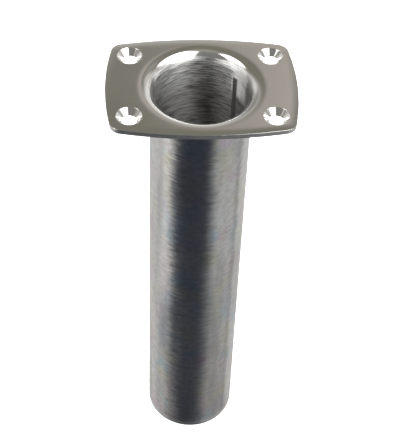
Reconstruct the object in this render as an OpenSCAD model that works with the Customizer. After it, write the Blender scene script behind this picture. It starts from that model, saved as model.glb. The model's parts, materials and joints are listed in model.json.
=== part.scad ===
// Flush-mount rod holder, 90 degrees: a bowed deck flange with a flared mouth, a seam-welded
// tube under it, and an end plate with a drain hole, joined by weld beads.
// Millimetres, +Z up. The origin is on the tube's axis, at the flange's underside on the deck.

/* [Flange] */
// Flange length, between the middles of its short sides
flange_l = 89.2; // [86:0.2:110]
// Flange width, between the middles of its long sides
flange_w = 67.5; // [66:0.5:90]
// Flange thickness
flange_t = 3; // [2.8:0.1:5]
// How far each short side bows out
short_bow = 4.3; // [2:0.1:6]
// How far each long side bows out
long_bow = 5; // [2:0.1:6]
// Radius of the flange's corners
corner_r = 5.7; // [3:0.1:8]
// Radius of the flange's upper edge
top_edge_r = 0.5; // [0.3:0.1:1.4]
// Radius of the flange's lower edge
low_edge_r = 0.6; // [0.2:0.1:1]

/* [Screw holes] */
// Distance between the holes along the flange
hole_pitch_x = 66.6; // [66:0.2:72]
// Distance between the holes across the flange
hole_pitch_y = 42.3; // [42:0.1:46]
// Diameter of the through holes
hole_d = 6.8; // [5:0.1:7]
// Diameter of each 90 degree countersink at the top face
sink_d = 12; // [10:0.1:12.4]

/* [Mouth and collar] */
// Radius of the flare that leads from the top face into the bore
flare_r = 7.5; // [6:0.5:8]
// Outside diameter of the collar under the flange
collar_d = 50; // [49.5:0.5:52]
// How far the collar reaches below the flange's underside
collar_h = 5.5; // [5.5:0.5:12]
// Radius between the collar and the flange's underside
collar_fillet = 2; // [1:0.5:3]

/* [Tube] */
// Outside diameter of the tube
tube_d = 48; // [46:0.5:48]
// Wall thickness of the tube
tube_wall = 1.5; // [1.2:0.1:2]
// Height of the whole part, from the flange's top face to the end plate
total_h = 240.6; // [150:0.2:320]
// Depth of the weld bevel on the tube's and the end plate's rims
bevel = 1; // [0.6:0.1:1.2]

/* [Seam] */
// Width of the tube's long seam weld
seam_w = 2.8; // [2:0.1:4]
// How far the seam's bead stands proud inside the bore
seam_crown = 0.15; // [0.05:0.05:0.15]
// Direction of the seam around the tube, from +X
seam_angle = 42; // [0:1:359]

/* [End plate] */
// Thickness of the end plate
plate_t = 2; // [2:0.1:4]
// Diameter of the drain hole
drain_d = 10; // [6:0.5:16]
// Radius of the end plate's ground lower rim
rim_r = 0.6; // [0.2:0.1:0.6]

/* [Hidden] */
$fn = 128;
cut = 1; // how far a cutting tool runs past the faces that it cuts
layer_h = 0.01; // thickness of the slices that the flange's plate is blended from
long_steps = 16;
short_steps = 12;
corner_steps = 8;
edge_steps = 4;

tube_r = tube_d / 2;
bore_r = tube_r - tube_wall;
mouth_r = bore_r + flare_r;
collar_r = collar_d / 2;
tube_top = -collar_h;
part_bottom = flange_t - total_h;
tube_bottom = part_bottom + plate_t;

// Points on an arc around c, with both ends unless dropped leaves out the last ones
function arc(c, r, from, to, steps, dropped = 0) =
    [for (i = [0 : steps - dropped]) let (a = from + (to - from) * i / steps)
        c + r * [cos(a), sin(a)]];

// Radius of the arc that rises by bow over a half chord
function bow_radius(half_chord, bow) = (half_chord ^ 2 + bow ^ 2) / (2 * bow);

// Where two circles meet, on the right of the line from the first one's centre to the second's
function meeting(c1, r1, c2, r2) =
    let (
        gap = norm(c2 - c1),
        dir = (c2 - c1) / gap,
        along = (r1 ^ 2 - r2 ^ 2 + gap ^ 2) / (2 * gap),
        aside = sqrt(r1 ^ 2 - along ^ 2)
    )
    c1 + dir * along + [dir.y, -dir.x] * aside;

// The flange's outline moved inwards by inset: four bowed sides with a round corner after each
function outline(inset) =
    let (
        long_r = bow_radius(flange_l / 2, long_bow),
        short_r = bow_radius(flange_w / 2, short_bow),
        long_c = [0, flange_w / 2 - long_r],
        short_c = [flange_l / 2 - short_r, 0],
        corner_c = meeting(long_c, long_r - corner_r, short_c, short_r - corner_r),
        from_long = corner_c - long_c,
        from_short = corner_c - short_c,
        l = atan2(from_long.y, from_long.x),
        s = atan2(from_short.y, from_short.x),
        flip = [[-1, 0], [0, 1]]
    )
    concat(
        arc(short_c, short_r - inset, -s, s, short_steps, 1),
        arc(corner_c, corner_r - inset, s, l, corner_steps, 1),
        arc(long_c, long_r - inset, l, 180 - l, long_steps, 1),
        arc(flip * corner_c, corner_r - inset, 180 - l, 180 - s, corner_steps, 1),
        arc(-short_c, short_r - inset, 180 - s, 180 + s, short_steps, 1),
        arc(-corner_c, corner_r - inset, 180 + s, 180 + l, corner_steps, 1),
        arc(-long_c, long_r - inset, 180 + l, 360 - l, long_steps, 1),
        arc(-flip * corner_c, corner_r - inset, 360 - l, 360 - s, corner_steps, 1)
    );

// [inset, height] of each slice of the plate: the lower edge's round, then the upper edge's
function edge_slices() =
    concat(
        [for (i = [0 : edge_steps]) let (a = 90 * i / edge_steps)
            [low_edge_r * (1 - sin(a)), low_edge_r * (1 - cos(a))]],
        [for (i = [0 : edge_steps]) let (a = 90 * i / edge_steps)
            [top_edge_r * (1 - cos(a)), flange_t - layer_h - top_edge_r * (1 - sin(a))]]
    );

module flange_plate() {
    hull()
        for (slice = edge_slices())
            translate([0, 0, slice[1]])
                linear_extrude(layer_h)
                    polygon(outline(slice[0]));
}

module collar() {
    rotate_extrude() {
        translate([bore_r - cut, -collar_h])
            square([collar_r - bore_r + cut, collar_h + flange_t / 2]);
        difference() {
            translate([collar_r - cut, -collar_fillet])
                square([collar_fillet + cut, collar_fillet + flange_t / 2]);
            translate([collar_r + collar_fillet, -collar_fillet])
                circle(r = collar_fillet);
        }
    }
}

module mouth_cut() {
    flare_z = flange_t - flare_r;
    translate([0, 0, -collar_h - cut])
        cylinder(r = bore_r, h = collar_h + flange_t + 2 * cut);
    rotate_extrude()
        difference() {
            translate([0, flare_z])
                square([mouth_r, flare_r + cut]);
            translate([mouth_r, flare_z])
                circle(r = flare_r);
        }
}

module screw_hole_cut() {
    sink_h = (sink_d - hole_d) / 2;
    translate([0, 0, -cut])
        cylinder(d = hole_d, h = flange_t + 2 * cut);
    translate([0, 0, flange_t - sink_h])
        cylinder(d1 = hole_d, d2 = sink_d + 2 * cut, h = sink_h + cut);
}

module flange() {
    color("silver")
        difference() {
            union() {
                flange_plate();
                collar();
            }
            mouth_cut();
            for (x = [-1, 1], y = [-1, 1])
                translate([x * hole_pitch_x / 2, y * hole_pitch_y / 2, 0])
                    screw_hole_cut();
        }
}

// The tube's wall with both rims bevelled outside, from inner_r outwards
module tube_shell(inner_r) {
    rotate_extrude()
        polygon([
            [inner_r, tube_bottom],
            [tube_r - bevel, tube_bottom],
            [tube_r, tube_bottom + bevel],
            [tube_r, tube_top - bevel],
            [tube_r - bevel, tube_top],
            [inner_r, tube_top]
        ]);
}

// The slot along the wall that the seam weld fills
module seam_slot() {
    rotate([0, 0, seam_angle])
        translate([bore_r - cut, -seam_w / 2, tube_bottom - cut])
            cube([tube_wall + 2 * cut, seam_w, tube_top - tube_bottom + 2 * cut]);
}

module tube() {
    color("lightslategray")
        difference() {
            tube_shell(bore_r);
            seam_slot();
        }
}

module seam_weld() {
    color("dimgray")
        intersection() {
            tube_shell(bore_r - seam_crown);
            seam_slot();
        }
}

// Fills the bevel on the tube's upper rim and the step up to the collar
module neck_weld() {
    step = collar_r - tube_r;
    bead = [for (i = [0 : corner_steps]) let (a = 90 * i / corner_steps)
        [collar_r - step * cos(a), tube_top - bevel * (1 - sin(a))]];
    color("gray")
        rotate_extrude()
            polygon(concat([[tube_r - bevel, tube_top]], bead));
}

module end_plate() {
    rim = arc([tube_r - rim_r, part_bottom + rim_r], rim_r, 270, 360, corner_steps);
    color("lightslategray")
        rotate_extrude()
            polygon(concat(
                [[drain_d / 2, part_bottom]],
                rim,
                [
                    [tube_r, tube_bottom - bevel],
                    [tube_r - bevel, tube_bottom],
                    [drain_d / 2, tube_bottom]
                ]
            ));
}

// Fills the groove between the tube's lower rim and the end plate, ground flush with the tube
module end_weld() {
    color("gray")
        rotate_extrude()
            polygon([
                [tube_r - bevel, tube_bottom],
                [tube_r, tube_bottom - bevel],
                [tube_r, tube_bottom + bevel]
            ]);
}

flange();
neck_weld();
tube();
seam_weld();
end_plate();
end_weld();
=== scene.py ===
"""The looks of the flush-mount rod holder: every piece as a fine mesh with its own metal finish, on a
pale floor in a soft studio. Metres and degrees; azimuth 0 is -Y, 90 is +X and 180 is +Y."""

import json
import math

import bpy
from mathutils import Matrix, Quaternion, Vector
from mathutils.geometry import delaunay_2d_cdt


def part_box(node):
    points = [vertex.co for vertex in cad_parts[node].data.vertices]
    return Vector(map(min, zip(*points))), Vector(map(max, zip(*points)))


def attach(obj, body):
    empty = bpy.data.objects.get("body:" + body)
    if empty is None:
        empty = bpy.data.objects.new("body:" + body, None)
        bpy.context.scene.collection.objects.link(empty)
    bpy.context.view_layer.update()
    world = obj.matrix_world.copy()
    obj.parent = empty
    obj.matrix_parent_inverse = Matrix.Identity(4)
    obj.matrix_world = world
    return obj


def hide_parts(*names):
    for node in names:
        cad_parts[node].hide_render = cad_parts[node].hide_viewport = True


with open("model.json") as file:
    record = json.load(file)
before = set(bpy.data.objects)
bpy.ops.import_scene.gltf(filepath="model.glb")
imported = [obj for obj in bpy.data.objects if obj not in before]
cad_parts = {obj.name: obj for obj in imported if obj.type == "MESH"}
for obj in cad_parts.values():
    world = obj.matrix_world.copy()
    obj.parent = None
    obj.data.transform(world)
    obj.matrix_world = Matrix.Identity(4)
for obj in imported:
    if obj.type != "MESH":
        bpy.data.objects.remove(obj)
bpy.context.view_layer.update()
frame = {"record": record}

MM = 0.001
TURN = 2 * math.pi

# ---------------------------------------------------------------- sizes, from the frame
flange_low, flange_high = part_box("flange")
tube_low, tube_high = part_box("tube")
plate_low, plate_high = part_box("end_plate")
mounts = {mount["name"]: mount["dims"] for mount in frame["record"]["mounts"]}

FLANGE_TOP = flange_high.z
COLLAR_BOTTOM = flange_low.z
TUBE_TOP = tube_high.z
TUBE_BOTTOM = tube_low.z
PART_BOTTOM = plate_low.z
HALF_LENGTH = flange_high.x
HALF_WIDTH = flange_high.y
TUBE_R = plate_high.x
BORE_R = mounts["rod_bore"]["r_mm"] * MM
HOLE_R = mounts["deck_screws"]["hole_r_mm"] * MM
HOLE_X = mounts["deck_screws"]["spacing_x_mm"] * MM / 2
HOLE_Y = mounts["deck_screws"]["spacing_y_mm"] * MM / 2
DRAIN_R = mounts["drain_hole"]["r_mm"] * MM

# ---------------------------------------------------------------- sizes that the frame doesn't hold
SHORT_BOW = 4.3 * MM  # how far the flange's short sides bow out
LONG_BOW = 5 * MM
CORNER_R = 5.7 * MM
TOP_EDGE_R = 0.08 * MM
LOW_EDGE_R = 0.6 * MM
CROWN_WIDTH = 5 * MM  # how far in the flange's top starts to fall away, as buffing leaves it
CROWN_DROP = 0.3 * MM
FLARE_R = 6.3 * MM
LEAD_WIDTH = 3.8 * MM  # of the gentle lead-in that buffing leaves round the flare
LEAD_TILT = math.radians(11)  # the lead-in's slope where it meets the flare
SINK_R = 6 * MM
COLLAR_R = 25 * MM
COLLAR_FILLET = 2 * MM
BEVEL = 1 * MM
RIM_R = 0.6 * MM  # round the end plate's lower rim
SEAM_WIDTH = 2.8 * MM
SEAM_CROWN = 0.15 * MM
SEAM_ANGLE = math.radians(42)  # from +X
EDGE_BREAK = 0.15 * MM  # how far a sharp edge is rounded off
JOINT_BREAK = 0.02 * MM  # the same, where two pieces are welded and ground flush

AROUND = 192  # segments round the mouth and the tube
AROUND_HOLE = 64
LEAD_STEPS = 8
FLARE_STEPS = 24
SHORT_STEPS = 24  # segments along one short side of the flange
CORNER_STEPS = 12
LONG_STEPS = 32
EDGE_STEPS = 8
CAP_GRID = 2.4 * MM  # spacing of the points inside the flange's flat faces
CAP_ROW = CAP_GRID * math.sqrt(0.75)
CAP_CLEAR = CAP_GRID * 0.55  # how near to a boundary those points come
WELD_DISTANCE = 1e-9  # points of a flat face that are nearer than this are one point

# Finishes, in the order of a piece's materials
POLISHED, SATIN, MOUTH = range(3)
OUTSIDE, INSIDE = range(2)


# ---------------------------------------------------------------- mesh building
class Shape:
    """A closed mesh in the making: points with their normals, and faces with a finish each."""

    def __init__(self):
        self.points = []
        self.normals = []
        self.faces = []
        self.finishes = []
        self.flat = []

    def ring(self, points, normals):
        """Adds the points, and returns their numbers."""
        first = len(self.points)
        self.points.extend(points)
        self.normals.extend(normals)
        return list(range(first, len(self.points)))

    def face(self, corners, finish=0, flat=False):
        self.faces.append(corners)
        self.finishes.append(finish)
        self.flat.append(flat)

    def bridge(self, a, b, finish=0, closed=True):
        """Quads from ring a to ring b."""
        count = len(a)
        for i in range(count if closed else count - 1):
            j = (i + 1) % count
            self.face([a[i], a[j], b[j], b[i]], finish)

    def mesh(self, name):
        made = bpy.data.meshes.new(name)
        made.from_pydata(self.points, [], self.faces)
        made.polygons.foreach_set("material_index", self.finishes)
        made.polygons.foreach_set("use_smooth", [True] * len(self.faces))
        return made

    def build(self, name):
        """The mesh, shaded with the shape's own normals."""
        made = self.mesh(name)
        made.update()
        corner_normals = []
        for polygon in made.polygons:
            for vertex in polygon.vertices:
                flat = self.flat[polygon.index]
                corner_normals.append(polygon.normal if flat else self.normals[vertex])
        made.normals_split_custom_set(corner_normals)
        return made

    def build_creased(self, name, crease_angle=40):
        """The mesh, shaded smooth apart from its creases."""
        made = self.mesh(name)
        made.set_sharp_from_angle(angle=math.radians(crease_angle))
        made.update()
        return made


def unit(x, y):
    length = math.hypot(x, y)
    return x / length, y / length


def rounded(corners, closed=False, steps=6):
    """Points (r, z, nr, nz) along a profile, with the material on its left. A corner is (r, z, radius);
    an open profile's first and last ones only give the direction."""
    count = len(corners)
    made = []
    for i in range(0 if closed else 1, count if closed else count - 1):
        before, here, after = corners[i - 1], corners[i], corners[(i + 1) % count]
        along_in = unit(here[0] - before[0], here[1] - before[1])
        along_out = unit(after[0] - here[0], after[1] - here[1])
        normal_in = Vector((along_in[1], -along_in[0]))
        normal_out = Vector((along_out[1], -along_out[0]))
        bend = along_in[0] * along_out[1] - along_in[1] * along_out[0]
        radius = math.copysign(here[2], bend)
        centre = Vector(here[:2]) - (normal_in + normal_out) * radius / (1 + normal_in.dot(normal_out))
        arc_steps = max(2, round(steps * abs(math.degrees(normal_in.angle(normal_out))) / 90))
        for k in range(arc_steps + 1):
            normal = normal_in.slerp(normal_out, k / arc_steps)
            spot = centre + normal * radius
            made.append((spot.x, spot.y, normal.x, normal.y))
    return made


def lead_in():
    """Points (r, z, nr, nz) from the flange's flat top, gently and then tightly, down into the bore."""
    start_r = BORE_R + FLARE_R * (1 - math.sin(LEAD_TILT)) + LEAD_WIDTH
    slope = math.tan(LEAD_TILT)
    made = []
    for k in range(LEAD_STEPS):
        share = k / LEAD_STEPS
        drop = slope * LEAD_WIDTH * share**3 / 3
        normal = unit(-slope * share**2, 1)
        made.append((start_r - LEAD_WIDTH * share, FLANGE_TOP - drop, *normal))
    centre_z = FLANGE_TOP - slope * LEAD_WIDTH / 3 - FLARE_R * math.cos(LEAD_TILT)
    for k in range(FLARE_STEPS + 1):
        tilt = LEAD_TILT + (math.pi / 2 - LEAD_TILT) * k / FLARE_STEPS
        normal = (-math.sin(tilt), math.cos(tilt))
        made.append((BORE_R + FLARE_R + FLARE_R * normal[0], centre_z + FLARE_R * normal[1], *normal))
    return made


def turned_ring(shape, spot, count, centre=(0, 0)):
    """One ring of a turned surface, at a profile's point."""
    r, z, nr, nz = spot
    angles = [TURN * i / count for i in range(count)]
    return shape.ring(
        [(centre[0] + r * math.cos(a), centre[1] + r * math.sin(a), z) for a in angles],
        [(nr * math.cos(a), nr * math.sin(a), nz) for a in angles],
    )


def turn(shape, profile, count, centre=(0, 0), finish=lambda r, z: 0, closed=False):
    """A turned surface from a profile, as its rings."""
    rings = [turned_ring(shape, spot, count, centre) for spot in profile]
    pairs = list(zip(profile, rings))
    for (spot, ring), (following, next_ring) in zip(pairs, pairs[1:]):
        middle = ((spot[0] + following[0]) / 2, (spot[1] + following[1]) / 2)
        shape.bridge(ring, next_ring, finish(*middle))
    if closed:
        shape.bridge(rings[-1], rings[0], finish(profile[0][0], profile[0][1]))
    return rings


def piece(name, node, mesh, materials):
    """A piece of the visual model that stands for a CAD node."""
    made = bpy.data.objects.new(name, mesh)
    bpy.context.scene.collection.objects.link(made)
    for material in materials:
        made.data.materials.append(material)
    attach(made, "root")
    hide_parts(node)
    return made


# ---------------------------------------------------------------- flange
def bow_radius(half_chord, bow):
    return (half_chord**2 + bow**2) / (2 * bow)


def outline_arcs():
    """The flange's outline as arcs in its first quarter: (long_r, long_y, short_r, short_x, corner,
    short_end, long_end). The corner's arc runs between the directions short_end and long_end."""
    long_r = bow_radius(HALF_LENGTH, LONG_BOW)
    short_r = bow_radius(HALF_WIDTH, SHORT_BOW)
    long_y = HALF_WIDTH - long_r
    short_x = HALF_LENGTH - short_r
    # the corner's centre is CORNER_R inside both bows
    gap = math.hypot(short_x, long_y)
    toward = (short_x / gap, -long_y / gap)
    reach = ((long_r - CORNER_R) ** 2 - (short_r - CORNER_R) ** 2 + gap**2) / (2 * gap)
    aside = math.sqrt((long_r - CORNER_R) ** 2 - reach**2)
    corner = (toward[0] * reach + toward[1] * aside, long_y + toward[1] * reach - toward[0] * aside)
    short_end = math.atan2(corner[1], corner[0] - short_x)
    long_end = math.atan2(corner[1] - long_y, corner[0])
    return long_r, long_y, short_r, short_x, corner, short_end, long_end


def outline(inset):
    """The flange's outline moved inwards, as points (x, y, nx, ny): bowed sides and round corners."""
    long_r, long_y, short_r, short_x, (corner_x, corner_y), short_end, long_end = outline_arcs()
    made = []

    def arc(cx, cy, radius, start, end, steps):
        for i in range(steps):
            a = start + (end - start) * i / steps
            nx, ny = math.cos(a), math.sin(a)
            made.append((cx + radius * nx, cy + radius * ny, nx, ny))

    for side in (0, math.pi):
        flip = math.cos(side)
        arc(flip * short_x, 0, short_r - inset, side - short_end, side + short_end, SHORT_STEPS)
        arc(flip * corner_x, flip * corner_y, CORNER_R - inset, side + short_end, side + long_end,
            CORNER_STEPS)
        arc(0, flip * long_y, long_r - inset, side + long_end, side + math.pi - long_end, LONG_STEPS)
        arc(-flip * corner_x, flip * corner_y, CORNER_R - inset, side + math.pi - long_end,
            side + math.pi - short_end, CORNER_STEPS)
    return made


def depth_inside(x, y):
    """How far a point is inside the flange's outline, and the way out from there."""
    long_r, long_y, short_r, short_x, corner, short_end, long_end = outline_arcs()
    p = Vector((abs(x), abs(y)))
    from_long = p - Vector((0, long_y))
    from_short = p - Vector((short_x, 0))
    from_corner = p - Vector(corner)
    if short_end < math.atan2(from_corner.y, from_corner.x) < long_end and from_corner.length > 0:
        depth, out = CORNER_R - from_corner.length, from_corner.normalized()
    elif long_r - from_long.length < short_r - from_short.length:
        depth, out = long_r - from_long.length, from_long.normalized()
    else:
        depth, out = short_r - from_short.length, from_short.normalized()
    return depth, Vector((math.copysign(out.x, x), math.copysign(out.y, y)))


def crown(shape):
    """Lets the flange's top fall away towards its edge, from the underside up."""
    for i, (x, y, z) in enumerate(shape.points):
        depth, out = depth_inside(x, y)
        if z <= 0 or depth >= CROWN_WIDTH:
            continue
        share = 1 - max(depth, 0) / CROWN_WIDTH
        scale = 1 - CROWN_DROP / FLANGE_TOP * share**2
        steepness = -2 * CROWN_DROP / FLANGE_TOP * share / CROWN_WIDTH
        nx, ny, nz = shape.normals[i]
        tilt = nz * z * steepness
        shape.points[i] = (x, y, z * scale)
        normal = Vector((nx * scale - tilt * out.x, ny * scale - tilt * out.y, nz))
        shape.normals[i] = tuple(normal.normalized())


def cap(shape, outer, holes, z, up):
    """Fills the flat face inside ring outer and outside the rings of holes."""
    numbers = list(outer)
    for hole in holes:
        numbers += hole
    fixed = [Vector(shape.points[n][:2]) for n in numbers]
    edges = []
    first = 0
    for loop in [outer, *holes]:
        edges += [(first + i, first + (i + 1) % len(loop)) for i in range(len(loop))]
        first += len(loop)
    circles = []
    for hole in holes:
        spots = [Vector(shape.points[n][:2]) for n in hole]
        middle = sum(spots, Vector((0, 0))) / len(spots)
        circles.append((middle, (spots[0] - middle).length))

    def clear(p):
        near_hole = any((p - middle).length < radius + CAP_CLEAR for middle, radius in circles)
        return not near_hole and min((p - q).length for q in fixed) > CAP_CLEAR

    def inside(p):
        crossings = 0
        for i in range(len(outer)):
            a, b = fixed[i], fixed[(i + 1) % len(outer)]
            if (a.y > p.y) != (b.y > p.y) and p.x < a.x + (b.x - a.x) * (p.y - a.y) / (b.y - a.y):
                crossings += 1
        return crossings % 2 == 1

    rows = int(HALF_WIDTH / CAP_ROW)
    columns = int(HALF_LENGTH / CAP_GRID)
    grid = [
        Vector((CAP_GRID * (i + 0.5 * (j % 2)), CAP_ROW * j))
        for j in range(-rows, rows + 1)
        for i in range(-columns - 1, columns + 1)
    ]
    free = [p for p in grid if inside(p) and clear(p)]
    normal = (0, 0, 1 if up else -1)
    numbers += shape.ring([(p.x, p.y, z) for p in free], [normal] * len(free))
    loop_of = {}
    for index, hole in enumerate(holes):
        loop_of.update({n: index for n in hole})
    found = delaunay_2d_cdt(fixed + free, edges, [], 1, WELD_DISTANCE)
    triangles, origins = found[2], found[3]
    for triangle in triangles:
        corners = [numbers[origins[v][0]] for v in triangle]
        loops = {loop_of.get(n) for n in corners}
        if len(loops) == 1 and None not in loops:
            continue  # it would fill a hole
        shape.face(corners if up else corners[::-1], POLISHED if up else SATIN)


def make_flange(materials):
    shape = Shape()
    edge = rounded([
        (-1, 0, 0),
        (0, 0, LOW_EDGE_R),
        (0, FLANGE_TOP, TOP_EDGE_R),
        (-1, FLANGE_TOP, 0),
    ], steps=EDGE_STEPS)
    edge_rings = []
    for offset, z, outward, upward in edge:
        around = outline(-offset)
        edge_rings.append(shape.ring(
            [(x, y, z) for x, y, _, _ in around],
            [(nx * outward, ny * outward, upward) for _, _, nx, ny in around],
        ))
    for i, (ring, next_ring) in enumerate(zip(edge_rings, edge_rings[1:])):
        shape.bridge(ring, next_ring, SATIN if i <= len(edge) // 2 else POLISHED)

    mouth = lead_in() + rounded([
        (BORE_R, FLANGE_TOP, 0),
        (BORE_R, COLLAR_BOTTOM, JOINT_BREAK),
        (COLLAR_R, COLLAR_BOTTOM, EDGE_BREAK),
        (COLLAR_R, 0, COLLAR_FILLET),
        (COLLAR_R + 2 * COLLAR_FILLET, 0, 0),
    ])

    def mouth_finish(r, z):
        in_bore = r < BORE_R + 2 * MM and z > COLLAR_BOTTOM + JOINT_BREAK
        return MOUTH if z > 0 or in_bore else SATIN

    mouth_rings = turn(shape, mouth, AROUND, finish=mouth_finish)

    land = FLANGE_TOP - (SINK_R - HOLE_R)  # where the countersink's cone ends
    sink = rounded([
        (2 * SINK_R, FLANGE_TOP, 0),
        (SINK_R, FLANGE_TOP, EDGE_BREAK),
        (HOLE_R, land, EDGE_BREAK),
        (HOLE_R, 0, EDGE_BREAK),
        (2 * HOLE_R, 0, 0),
    ])
    sinks = [
        turn(shape, sink, AROUND_HOLE, centre=(x * HOLE_X, y * HOLE_Y), finish=lambda r, z: POLISHED)
        for x in (-1, 1)
        for y in (-1, 1)
    ]
    cap(shape, edge_rings[-1], [mouth_rings[0]] + [rings[0] for rings in sinks], FLANGE_TOP, up=True)
    cap(shape, edge_rings[0], [mouth_rings[-1]] + [rings[-1] for rings in sinks], 0, up=False)
    crown(shape)
    return piece("deck_flange", "flange", shape.build("deck_flange"), materials)


# ---------------------------------------------------------------- tube and its seam
def make_tube(materials):
    shape = Shape()
    profile = rounded([
        (BORE_R, TUBE_BOTTOM, JOINT_BREAK),
        (TUBE_R - BEVEL, TUBE_BOTTOM, JOINT_BREAK),
        (TUBE_R, TUBE_BOTTOM + BEVEL, JOINT_BREAK),
        (TUBE_R, TUBE_TOP - BEVEL, JOINT_BREAK),
        (TUBE_R - BEVEL, TUBE_TOP, JOINT_BREAK),
        (BORE_R, TUBE_TOP, JOINT_BREAK),
    ], closed=True)
    wall_middle = (TUBE_R + BORE_R) / 2
    lines = []
    for r, z, nr, nz in profile:
        slot = math.asin(SEAM_WIDTH / 2 / r)
        angles = [SEAM_ANGLE + slot + (TURN - 2 * slot) * i / AROUND for i in range(AROUND + 1)]
        lines.append(shape.ring(
            [(r * math.cos(a), r * math.sin(a), z) for a in angles],
            [(nr * math.cos(a), nr * math.sin(a), nz) for a in angles],
        ))
    for i, line in enumerate(lines):
        following = (i + 1) % len(lines)
        middle = (profile[i][0] + profile[following][0]) / 2
        shape.bridge(line, lines[following], OUTSIDE if middle > wall_middle else INSIDE, closed=False)
    shape.face([line[0] for line in lines], OUTSIDE, flat=True)
    shape.face([line[-1] for line in reversed(lines)], OUTSIDE, flat=True)
    return piece("steel_tube", "tube", shape.build("steel_tube"), materials)


SEAM_PITCH = 0.9 * MM  # from one ripple of the seam's bead to the next
SEAM_RIPPLE_STEPS = 5
SEAM_ACROSS = 8


def make_seam(materials):
    """The seam's bead: rippled and a little proud inside the bore, ground flush outside."""
    shape = Shape()
    steps = round((TUBE_TOP - TUBE_BOTTOM) / SEAM_PITCH) * SEAM_RIPPLE_STEPS
    heights = [TUBE_BOTTOM + (TUBE_TOP - TUBE_BOTTOM) * i / steps for i in range(steps + 1)]
    rings = []
    for z in heights:
        from_end = min(z - TUBE_BOTTOM, TUBE_TOP - z)
        outer = TUBE_R - max(0, BEVEL - from_end)
        section = []
        for k in range(SEAM_ACROSS + 1):
            across = 2 * k / SEAM_ACROSS - 1
            section.append((math.sqrt(outer**2 - (across * SEAM_WIDTH / 2) ** 2), across))
        for k in range(SEAM_ACROSS + 1):
            across = 1 - 2 * k / SEAM_ACROSS
            ripple = 0.5 + 0.5 * math.cos(TURN * z / SEAM_PITCH + 2.2 * across**2)
            proud = SEAM_CROWN * (1 - across**2) * (0.6 + 0.4 * ripple)
            wall = math.sqrt(BORE_R**2 - (across * SEAM_WIDTH / 2) ** 2)
            section.append((wall - proud, across))
        points = []
        for depth, across in section:
            side = across * SEAM_WIDTH / 2
            points.append((
                depth * math.cos(SEAM_ANGLE) - side * math.sin(SEAM_ANGLE),
                depth * math.sin(SEAM_ANGLE) + side * math.cos(SEAM_ANGLE),
                z,
            ))
        rings.append(shape.ring(points, [(0, 0, 1)] * len(points)))
    count = len(rings[0])
    for lower, upper in zip(rings, rings[1:]):
        for i in range(count):
            j = (i + 1) % count
            shape.face([lower[i], lower[j], upper[j], upper[i]], OUTSIDE if i < SEAM_ACROSS else INSIDE)
    shape.face(rings[0][::-1], INSIDE)
    shape.face(rings[-1], INSIDE)
    return piece("long_seam", "seam_weld", shape.build_creased("long_seam"), materials)


# ---------------------------------------------------------------- welds at the tube's ends, end plate
NECK_RIPPLES = 92
NECK_RIPPLE_STEPS = 6
NECK_ACROSS = 10
NECK_LEG = 0.9 * MM  # how far the bead covers the tube, and above it the collar
NECK_BULGE = 0.42 * MM
NECK_RIPPLE = 0.16 * MM


def make_neck_weld(materials):
    """The bead between the tube and the collar, with the ripples of a hand-laid weld."""
    shape = Shape()
    low = Vector((TUBE_R, TUBE_TOP - BEVEL - NECK_LEG))
    high = Vector((COLLAR_R, COLLAR_BOTTOM + NECK_LEG * 0.7))
    along = (high - low).normalized()
    outward = Vector((along.y, -along.x))
    inner = [(COLLAR_R, COLLAR_BOTTOM), (TUBE_R - BEVEL, TUBE_TOP), (TUBE_R, TUBE_TOP - BEVEL)]
    count = NECK_RIPPLES * NECK_RIPPLE_STEPS
    rings = []
    for i in range(count):
        a = TURN * i / count
        wander = 0.12 * math.sin(5 * a + 0.6) + 0.08 * math.sin(13 * a)
        section = []
        for k in range(NECK_ACROSS + 1):
            t = k / NECK_ACROSS
            across = 2 * t - 1
            phase = NECK_RIPPLES * a + 1.7 * across**2 + 2 * wander
            ripple = (0.5 + 0.5 * math.cos(phase)) ** 0.6
            height = (NECK_BULGE * (1 + wander) + NECK_RIPPLE * ripple) * (1 - across**2) ** 0.8
            spot = low.lerp(high, t) + outward * height
            section.append((spot.x, spot.y))
        section += inner
        rings.append(shape.ring(
            [(r * math.cos(a), r * math.sin(a), z) for r, z in section],
            [(0, 0, 1)] * len(section),
        ))
    size = len(rings[0])
    for i, ring in enumerate(rings):
        following = rings[(i + 1) % count]
        for k in range(size):
            m = (k + 1) % size
            shape.face([ring[k], following[k], following[m], ring[m]])
    return piece("neck_bead", "neck_weld", shape.build_creased("neck_bead", 60), materials)


def make_end_plate(materials):
    shape = Shape()
    profile = rounded([
        (DRAIN_R, PART_BOTTOM, EDGE_BREAK),
        (TUBE_R, PART_BOTTOM, RIM_R),
        (TUBE_R, TUBE_BOTTOM - BEVEL, JOINT_BREAK),
        (TUBE_R - BEVEL, TUBE_BOTTOM, JOINT_BREAK),
        (DRAIN_R, TUBE_BOTTOM, EDGE_BREAK),
    ], closed=True)
    turn(shape, profile, AROUND, closed=True)
    return piece("drain_plate", "end_plate", shape.build("drain_plate"), materials)


def make_end_weld(materials):
    shape = Shape()
    profile = rounded([
        (TUBE_R - BEVEL, TUBE_BOTTOM, JOINT_BREAK),
        (TUBE_R, TUBE_BOTTOM - BEVEL, JOINT_BREAK),
        (TUBE_R, TUBE_BOTTOM + BEVEL, JOINT_BREAK),
    ], closed=True)
    turn(shape, profile, AROUND, closed=True)
    return piece("end_bead", "end_weld", shape.build("end_bead"), materials)


# ---------------------------------------------------------------- nodes
def add(tree, kind, inputs=(), **settings):
    """A shader node. An input is a value, or the output that feeds it."""
    made = tree.nodes.new("ShaderNode" + kind)
    for name, value in settings.items():
        setattr(made, name, value)
    for name, value in dict(inputs).items():
        if isinstance(value, bpy.types.NodeSocket):
            tree.links.new(value, made.inputs[name])
        else:
            made.inputs[name].default_value = value
    return made


def maths(tree, operation, *values):
    made = add(tree, "Math", dict(enumerate(values)), operation=operation)
    return made.outputs[0]


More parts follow.
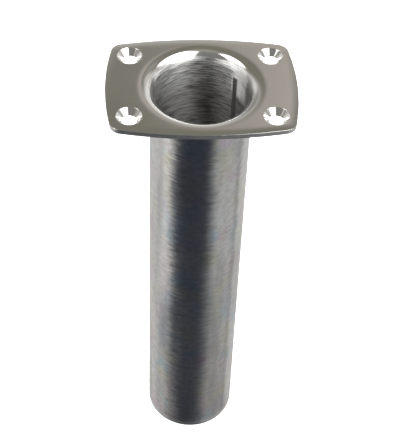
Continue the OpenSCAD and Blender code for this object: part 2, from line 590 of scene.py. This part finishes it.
def mixed(tree, share, a, b):
    """Colour a where share is 0, and b where it is 1."""
    made = add(tree, "Mix", {0: share, 6: a, 7: b}, data_type="RGBA")
    return made.outputs[2]


def tinted(tree, base, cover, share, tint):
    """The base colour, with as much as a share of the tint where cover is 1."""
    return mixed(tree, maths(tree, "MULTIPLY", cover, share), base, tint)


def blended(tree, share, a, b):
    """Number a where share is 0, and b where it is 1."""
    made = add(tree, "Mix", {0: share, 2: a, 3: b}, data_type="FLOAT")
    return made.outputs[0]


def halfway(tree, a, b):
    """The number halfway from a to b."""
    return maths(tree, "ADD", maths(tree, "MULTIPLY", a, 0.5), maths(tree, "MULTIPLY", b, 0.5))


def smooth(tree, value, start, end):
    """0 up to start, 1 from end on."""
    made = add(tree, "MapRange", {0: value, 1: start, 2: end}, interpolation_type="SMOOTHSTEP")
    return made.outputs[0]


def colour(red, green, blue):
    """Linear colour from the levels that a screen shows, each 0 to 255."""
    def linear(level):
        level /= 255
        return level / 12.92 if level <= 0.04045 else ((level + 0.055) / 1.055) ** 2.4

    return (linear(red), linear(green), linear(blue), 1)


class Metal:
    """A metal finish in the making."""

    def __init__(self, name):
        self.material = bpy.data.materials.new(name)
        self.material.use_nodes = True
        self.tree = self.material.node_tree
        self.tree.nodes.clear()
        self.place = add(self.tree, "TexCoord").outputs["Object"]
        self.normal = None

    def along(self, axis):
        """Each point's coordinate on an axis."""
        return add(self.tree, "SeparateXYZ", {0: self.place}).outputs[axis]

    def toward(self, angle):
        """How far each point is out from the Z axis, towards an angle from +X."""
        way = (math.cos(angle), math.sin(angle), 0)
        inputs = {0: self.place, 1: way}
        return add(self.tree, "VectorMath", inputs, operation="DOT_PRODUCT").outputs["Value"]

    def noise(self, stretch, detail=2.0, rotation=(0, 0, 0)):
        """Noise whose grain is 1 / stretch metres along each axis."""
        placed = add(self.tree, "Mapping", {"Vector": self.place, "Scale": stretch, "Rotation": rotation})
        inputs = {"Vector": placed.outputs[0], "Scale": 1.0, "Detail": detail}
        return add(self.tree, "TexNoise", inputs).outputs[0]

    def bump(self, height, depth):
        """Raises the surface by height, which goes from 0 to 1, times depth in metres."""
        inputs = {"Height": height, "Distance": depth, "Strength": 1.0}
        if self.normal is not None:
            inputs["Normal"] = self.normal
        self.normal = add(self.tree, "Bump", inputs).outputs[0]

    def round(self):
        """The way round the Z axis at each point."""
        return add(self.tree, "Tangent", direction_type="RADIAL", axis="Z").outputs[0]

    def lean(self, amount):
        """Tips the surface a little round the Z axis, by a number for each point."""
        tipped = add(self.tree, "VectorMath", {0: self.round(), 3: amount}, operation="SCALE").outputs[0]
        upright = self.normal or add(self.tree, "NewGeometry").outputs["Normal"]
        added = add(self.tree, "VectorMath", {0: upright, 1: tipped}, operation="ADD").outputs[0]
        self.normal = add(self.tree, "VectorMath", {0: added}, operation="NORMALIZE").outputs[0]

    def finish(self, base, roughness, anisotropic=None):
        """The material, with its strokes round the Z axis where it is anisotropic."""
        inputs = {"Base Color": base, "Roughness": roughness, "Metallic": 1.0}
        if self.normal is not None:
            inputs["Normal"] = self.normal
        if anisotropic is not None:
            inputs["Anisotropic"] = anisotropic
            inputs["Anisotropic Rotation"] = 0.25
            inputs["Tangent"] = self.round()
        shader = add(self.tree, "BsdfPrincipled", inputs)
        output = add(self.tree, "OutputMaterial")
        self.tree.links.new(shader.outputs[0], output.inputs[0])
        return self.material


# ---------------------------------------------------------------- metals
# Heights between which a mark on the steel, painted light and shade in the bore among them, goes from
# none to full
BRUSHING = (FLANGE_TOP - 0.6 * MM, FLANGE_TOP - 2.2 * MM)
# painted shade: the bore darker lower down
BORE_PAINTED_SHADE = (-8 * MM, -22 * MM)
# painted shade: the bore's walls at both ends of X darker near the top
BORE_SIDE_PAINTED_SHADE = (-14 * MM, -8 * MM)
# painted light: heights of the bright patch beside the seam
SEAM_PAINTED_LIGHT = (-16 * MM, -11 * MM)
SMUDGE_UPPER = (-95 * MM, -125 * MM)
SMUDGE_LOWER = (-175 * MM, -145 * MM)
END_GRINDING = (TUBE_BOTTOM + 6 * MM, TUBE_BOTTOM + 4 * MM)

# The ways that two of them face, from +X
# the way that the painted light beside the seam faces
SEAM_PAINTED_LIGHT_ANGLE = SEAM_ANGLE - math.radians(9)
SMUDGE_ANGLE = math.radians(233)


def buffed(metal):
    """Base colour and roughness of buffed steel: a near mirror, a little wavy, with fine hairlines."""
    tree = metal.tree
    haze = metal.noise((70, 70, 70), 3)
    hairlines = 0
    for degrees in (12, 68, 131):
        lines = metal.noise((35, 2400, 35), 1, (0, 0, math.radians(degrees)))
        hairlines = maths(tree, "ADD", hairlines, smooth(tree, lines, 0.62, 0.74))
    metal.bump(metal.noise((28, 28, 28), 1), 0.03 * MM)
    base = mixed(tree, haze, (0.76, 0.75, 0.73, 1), (0.82, 0.81, 0.79, 1))
    roughness = maths(tree, "MULTIPLY_ADD", haze, 0.06, 0.06)
    return base, maths(tree, "MULTIPLY_ADD", hairlines, 0.03, roughness)


def turned(metal):
    """Base colour, roughness and lean of steel brushed round the Z axis in coarse uneven strokes. Painted
    light makes it brighter beside the seam, where it is rougher too; painted shade darkens it at both
    ends of X near the top, and lower down."""
    tree = metal.tree
    fine = metal.noise((150, 150, 3600), 3)
    strokes = maths(tree, "MAXIMUM", metal.noise((130, 130, 1700), 4, (0.13, 0.06, 0)),
                    metal.noise((130, 130, 1700), 4, (-0.11, 0.15, 1)))
    shade = halfway(tree, fine, strokes)
    height = metal.along("Z")
    base = mixed(tree, smooth(tree, shade, 0.41, 0.60), (0.24, 0.24, 0.23, 1), (1.0, 1.0, 0.99, 1))
    # painted shade, darkening the bore from a little way down
    base = tinted(tree, base, smooth(tree, height, *BORE_PAINTED_SHADE), 0.45, (0.14, 0.13, 0.12, 1))
    roughness = maths(tree, "MULTIPLY_ADD", fine, 0.24, 0.26)

    # painted light: a brighter patch beside the seam, where the steel is rougher as well
    ragged = maths(tree, "MULTIPLY_ADD", strokes, 4 * MM, height)
    beside = smooth(tree, metal.toward(SEAM_PAINTED_LIGHT_ANGLE), BORE_R * 0.955, BORE_R * 0.99)
    seam_painted_light_patch = maths(tree, "MULTIPLY", beside, smooth(tree, ragged, *SEAM_PAINTED_LIGHT))
    seam_painted_light_patch = maths(tree, "MULTIPLY", seam_painted_light_patch, smooth(tree, shade, 0.32, 0.50))
    base = tinted(tree, base, seam_painted_light_patch, 0.9, (0.95, 0.95, 0.94, 1))
    roughness = maths(tree, "MULTIPLY_ADD", seam_painted_light_patch, 0.17, roughness)

    # painted shade: darker at both ends of X near the top of the bore
    sides = smooth(tree, maths(tree, "ABSOLUTE", metal.along("X")), BORE_R * 0.93, BORE_R)
    dull = maths(tree, "MULTIPLY", sides, smooth(tree, height, *BORE_SIDE_PAINTED_SHADE))
    base = tinted(tree, base, dull, 0.6, (0.16, 0.16, 0.15, 1))
    return base, roughness, maths(tree, "SUBTRACT", strokes, 0.55)


def polished_steel():
    metal = Metal("polished_steel")
    return metal.finish(*buffed(metal))


def mouth_steel():
    """The mouth: buffed at its lip, and brushed round from a little way down."""
    metal = Metal("mouth_steel")
    tree = metal.tree
    ragged = maths(tree, "MULTIPLY_ADD", metal.noise((60, 60, 900), 2), 1.6 * MM, metal.along("Z"))
    brushed = smooth(tree, ragged, *BRUSHING)
    lip_base, lip_roughness = buffed(metal)
    base, roughness, lean = turned(metal)
    metal.lean(maths(tree, "MULTIPLY", lean, maths(tree, "MULTIPLY", brushed, 0.35)))
    return metal.finish(
        mixed(tree, brushed, lip_base, base),
        blended(tree, brushed, lip_roughness, roughness),
        anisotropic=maths(tree, "MULTIPLY", brushed, 0.85),
    )


def satin_steel():
    """The flange's underside and collar: a plain satin finish."""
    metal = Metal("satin_steel")
    tree = metal.tree
    grain = metal.noise((400, 400, 400), 3)
    metal.bump(grain, 0.01 * MM)
    base = mixed(tree, grain, (0.62, 0.62, 0.61, 1), (0.74, 0.74, 0.73, 1))
    return metal.finish(base, maths(tree, "MULTIPLY_ADD", grain, 0.15, 0.36))


def mill_steel():
    """The tube's outside: dull mill finish with fine rings, drawn smears, mottling and faint rainbow
    tints, one dark smudge, and a plainer ground band at the lower end."""
    metal = Metal("mill_steel")
    tree = metal.tree
    rings = metal.noise((110, 110, 1100), 3)
    smears = metal.noise((130, 130, 16), 3)
    patches = metal.noise((60, 60, 42), 4)
    mottle = metal.noise((330, 330, 520), 5)
    clouds = metal.noise((40, 40, 9), 3, (0.02, 0.03, 2))
    waves = maths(tree, "MULTIPLY_ADD", rings, 0.2, maths(tree, "MULTIPLY", patches, 0.14))
    metal.lean(maths(tree, "ADD", waves, maths(tree, "MULTIPLY_ADD", mottle, 0.06, -0.2)))

    base = (0.80, 0.79, 0.78, 1)
    for turn_angle, tint in (
        (0.4, (0.58, 0.73, 0.80, 1)),
        (2.1, (0.78, 0.66, 0.74, 1)),
        (3.7, (0.76, 0.75, 0.62, 1)),
    ):
        cloud = metal.noise((70, 70, 50), 2, (0.4, 0.2, turn_angle))
        base = mixed(tree, smooth(tree, cloud, 0.48, 0.72), base, tint)
    dull = halfway(tree, smears, clouds)
    base = tinted(tree, base, smooth(tree, dull, 0.46, 0.66), 0.7, (0.40, 0.41, 0.42, 1))
    base = tinted(tree, base, rings, 0.3, (0.50, 0.50, 0.50, 1))
    base = tinted(tree, base, smooth(tree, mottle, 0.38, 0.68), 0.26, (0.30, 0.31, 0.32, 1))
    roughness = maths(tree, "MULTIPLY_ADD", dull, 0.25, 0.12)

    height = metal.along("Z")
    ragged = maths(tree, "MULTIPLY_ADD", clouds, 40 * MM, height)
    upper, lower = smooth(tree, ragged, *SMUDGE_UPPER), smooth(tree, ragged, *SMUDGE_LOWER)
    facing = smooth(tree, metal.toward(SMUDGE_ANGLE), TUBE_R * 0.95, TUBE_R * 0.99)
    smudge = maths(tree, "MULTIPLY", maths(tree, "MULTIPLY", upper, lower), facing)
    base = tinted(tree, base, smudge, 0.45, (0.30, 0.32, 0.36, 1))
    return metal.finish(base, blended(tree, smooth(tree, height, *END_GRINDING), roughness, 0.3))


def ground_steel():
    """Weld and rim ground flush: coarse lines round the tube."""
    metal = Metal("ground_steel")
    tree = metal.tree
    lines = metal.noise((90, 90, 2200), 2)
    metal.bump(lines, 0.01 * MM)
    base = mixed(tree, lines, (0.58, 0.58, 0.58, 1), (0.80, 0.80, 0.80, 1))
    return metal.finish(base, maths(tree, "MULTIPLY_ADD", lines, 0.2, 0.3))


def weld_metal():
    """Bare weld bead: straw, purple and blue heat tints over rippled metal."""
    metal = Metal("weld_metal")
    tree = metal.tree
    grain = metal.noise((900, 900, 900), 3)
    tint = metal.noise((160, 160, 300), 2)
    metal.bump(grain, 0.01 * MM)
    base = mixed(tree, smooth(tree, tint, 0.35, 0.5), (0.62, 0.60, 0.58, 1), (0.66, 0.52, 0.34, 1))
    base = mixed(tree, smooth(tree, tint, 0.52, 0.68), base, (0.34, 0.36, 0.52, 1))
    return metal.finish(base, maths(tree, "MULTIPLY_ADD", grain, 0.2, 0.2))


def dark_weld():
    """The seam's bead inside the bore, dark with scale."""
    metal = Metal("dark_weld")
    tree = metal.tree
    grain = metal.noise((700, 700, 500), 3)
    metal.bump(grain, 0.02 * MM)
    base = mixed(tree, grain, (0.32, 0.31, 0.30, 1), (0.52, 0.51, 0.50, 1))
    return metal.finish(base, maths(tree, "MULTIPLY_ADD", grain, 0.2, 0.4))


# ---------------------------------------------------------------- studio
METAL_SHINE = 0.78  # how much light polished steel gives back


def shown(red, green, blue):
    """Light that polished steel reflects at those levels."""
    return tuple(c / METAL_SHINE for c in colour(red, green, blue)[:3]) + (1,)


LOW_LIGHT = shown(214, 213, 211)  # of the studio up to LOW_ELEVATION
HIGH_LIGHT = shown(115, 113, 104)  # and from HIGH_ELEVATION on
LOW_ELEVATION = 13.0
HIGH_ELEVATION = 43.0
SOFTBOX_LIGHT = (8.2, 8.2, 8.2, 1)

# Soft cards and gaps round the object, each over the ones before it: azimuth and its half width,
# elevation and its half height, the width of the fade across and up, and how light it is.
CARDS = [
    ("back right", 140, 18, 40, 14, 10, 12, shown(139, 138, 133)),
    ("back wall, right", 170, 6, 34, 13, 11, 8, shown(162, 157, 150)),
    ("back wall, far right", 136, 12, 30, 7, 10, 7, shown(186, 184, 180)),
    ("back floor", 180, 40, -12, 12, 17, 10, shown(184, 182, 179)),
    ("back, lowest", 180, 84, -66, 28, 20, 12, shown(184, 183, 181)),
    ("back, low", -163, 14, 12, 16, 20, 14, shown(134, 133, 130)),
    ("front, upper", -15, 34, -10, 78, 30, 16, shown(118, 118, 116)),
    ("overhead", 0, 200, 92, 15, 1, 18, shown(146, 143, 136)),
    ("front left, low", -80, 36, -77, 26, 30, 10, shown(142, 140, 138)),
    ("front right, low", 66, 40, -60, 40, 20, 14, shown(168, 169, 169)),
    ("front right, lowest", 70, 42, -80, 28, 20, 10, shown(138, 135, 132)),
    ("front, low", -15, 50, -38, 17, 34, 12, shown(42, 46, 54)),
    ("front, lowest", -5, 43, -76, 22, 34, 12, shown(42, 46, 54)),
    ("gap, right", 97, 19, -10, 17, 12, 12, shown(100, 99, 96)),
    ("gap, lower right", 105, 4, -50, 30, 9, 10, shown(100, 100, 100)),
    ("gap, left", -120, 12, -5, 12, 12, 10, shown(126, 126, 124)),
    ("softbox, right", 62, 39, 57, 19, 26, 14, SOFTBOX_LIGHT),
    ("softbox, left", -88, 20, 57, 13, 18, 12, SOFTBOX_LIGHT),
    ("gap, far right", 98, 4, 20, 6, 6, 6, shown(110, 110, 110)),
    ("gap, far left", -98, 4, 20, 6, 6, 6, shown(110, 110, 110)),
]


def make_world():
    """The studio that the steel mirrors, by direction. The camera sees plain white behind the object."""
    world = bpy.data.worlds.new("studio")
    bpy.context.scene.world = world
    world.use_nodes = True
    tree = world.node_tree
    tree.nodes.clear()
    direction = add(tree, "TexCoord").outputs["Generated"]
    split = add(tree, "SeparateXYZ", {0: direction})
    x, y, z = split.outputs
    azimuth = maths(tree, "DEGREES", maths(tree, "ARCTAN2", x, maths(tree, "MULTIPLY", y, -1.0)))
    elevation = maths(tree, "DEGREES", maths(tree, "ARCSINE", z))
    light = mixed(tree, smooth(tree, elevation, LOW_ELEVATION, HIGH_ELEVATION), LOW_LIGHT, HIGH_LIGHT)
    for _, middle, half_width, height, half_height, fade_across, fade_up, level in CARDS:
        swing = maths(tree, "WRAP", maths(tree, "SUBTRACT", azimuth, middle), 180.0, -180.0)
        aside = maths(tree, "ABSOLUTE", swing)
        above = maths(tree, "ABSOLUTE", maths(tree, "SUBTRACT", elevation, height))
        across = smooth(tree, aside, half_width + fade_across / 2, half_width - fade_across / 2)
        up = smooth(tree, above, half_height + fade_up / 2, half_height - fade_up / 2)
        light = mixed(tree, maths(tree, "MULTIPLY", across, up), light, level)
    lit = add(tree, "Background", {"Color": light, "Strength": 1.0})
    plain = add(tree, "Background", {"Color": (1, 1, 1, 1), "Strength": 1.0})
    seen = add(tree, "LightPath").outputs["Is Camera Ray"]
    chosen = add(tree, "MixShader", {0: seen, 1: lit.outputs[0], 2: plain.outputs[0]})
    output = add(tree, "OutputWorld")
    tree.links.new(chosen.outputs[0], output.inputs[0])


FLOOR_SIZE = 40
OVERHEAD_SIZE = 4
OVERHEAD_HEIGHT = 2.5
OVERHEAD_POWER = 160


def make_floor():
    """A pale floor that the metal doesn't mirror; it isn't there for a camera under it."""
    half = FLOOR_SIZE / 2
    mesh = bpy.data.meshes.new("floor")
    corners = [(-half, -half, 0), (half, -half, 0), (half, half, 0), (-half, half, 0)]
    mesh.from_pydata(corners, [], [(0, 1, 2, 3)])
    floor = bpy.data.objects.new("floor", mesh)
    bpy.context.scene.collection.objects.link(floor)
    floor.location.z = PART_BOTTOM
    floor.visible_glossy = False
    material = bpy.data.materials.new("floor")
    material.use_nodes = True
    tree = material.node_tree
    tree.nodes.clear()
    paint = add(tree, "BsdfDiffuse", {"Color": (0.9, 0.9, 0.9, 1)})
    clear = add(tree, "BsdfTransparent")
    under = add(tree, "NewGeometry").outputs["Backfacing"]
    chosen = add(tree, "MixShader", {0: under, 1: paint.outputs[0], 2: clear.outputs[0]})
    output = add(tree, "OutputMaterial")
    tree.links.new(chosen.outputs[0], output.inputs[0])
    floor.data.materials.append(material)


def make_overhead_light():
    """A wide soft light that only brightens the floor."""
    data = bpy.data.lights.new("overhead", "AREA")
    data.shape = "SQUARE"
    data.size = OVERHEAD_SIZE
    data.energy = OVERHEAD_POWER
    light = bpy.data.objects.new("overhead", data)
    bpy.context.scene.collection.objects.link(light)
    light.location = (0, 0, OVERHEAD_HEIGHT)
    light.visible_glossy = False
    light.visible_camera = False


# The camera that took the photo
CAMERA_AZIMUTH = -3.544
CAMERA_ELEVATION = 46.743
CAMERA_ROLL = 2.448
CAMERA_DISTANCE = 0.6525
CAMERA_LENS = 102.62
CAMERA_AIM = Vector((1.94 * MM, 0, FLANGE_TOP - 92.51 * MM))


def make_camera():
    data = bpy.data.cameras.new("camera")
    data.lens = CAMERA_LENS
    data.sensor_width = 36
    camera = bpy.data.objects.new("camera", data)
    bpy.context.scene.collection.objects.link(camera)
    azimuth = math.radians(CAMERA_AZIMUTH)
    elevation = math.radians(CAMERA_ELEVATION)
    back = Vector((
        math.sin(azimuth) * math.cos(elevation),
        -math.cos(azimuth) * math.cos(elevation),
        math.sin(elevation),
    ))
    camera.location = CAMERA_AIM + back * CAMERA_DISTANCE
    camera.rotation_mode = "QUATERNION"
    roll = Quaternion((0, 0, 1), math.radians(CAMERA_ROLL))
    camera.rotation_quaternion = back.to_track_quat("Z", "Y") @ roll
    bpy.context.scene.camera = camera


def main():
    bpy.context.scene.view_settings.view_transform = "Standard"
    make_camera()
    make_world()
    make_floor()
    make_overhead_light()
    mouth = mouth_steel()
    ground = ground_steel()
    make_flange([polished_steel(), satin_steel(), mouth])
    make_tube([mill_steel(), mouth])
    make_seam([ground, dark_weld()])
    make_neck_weld([weld_metal()])
    make_end_plate([ground])
    make_end_weld([ground])


main()
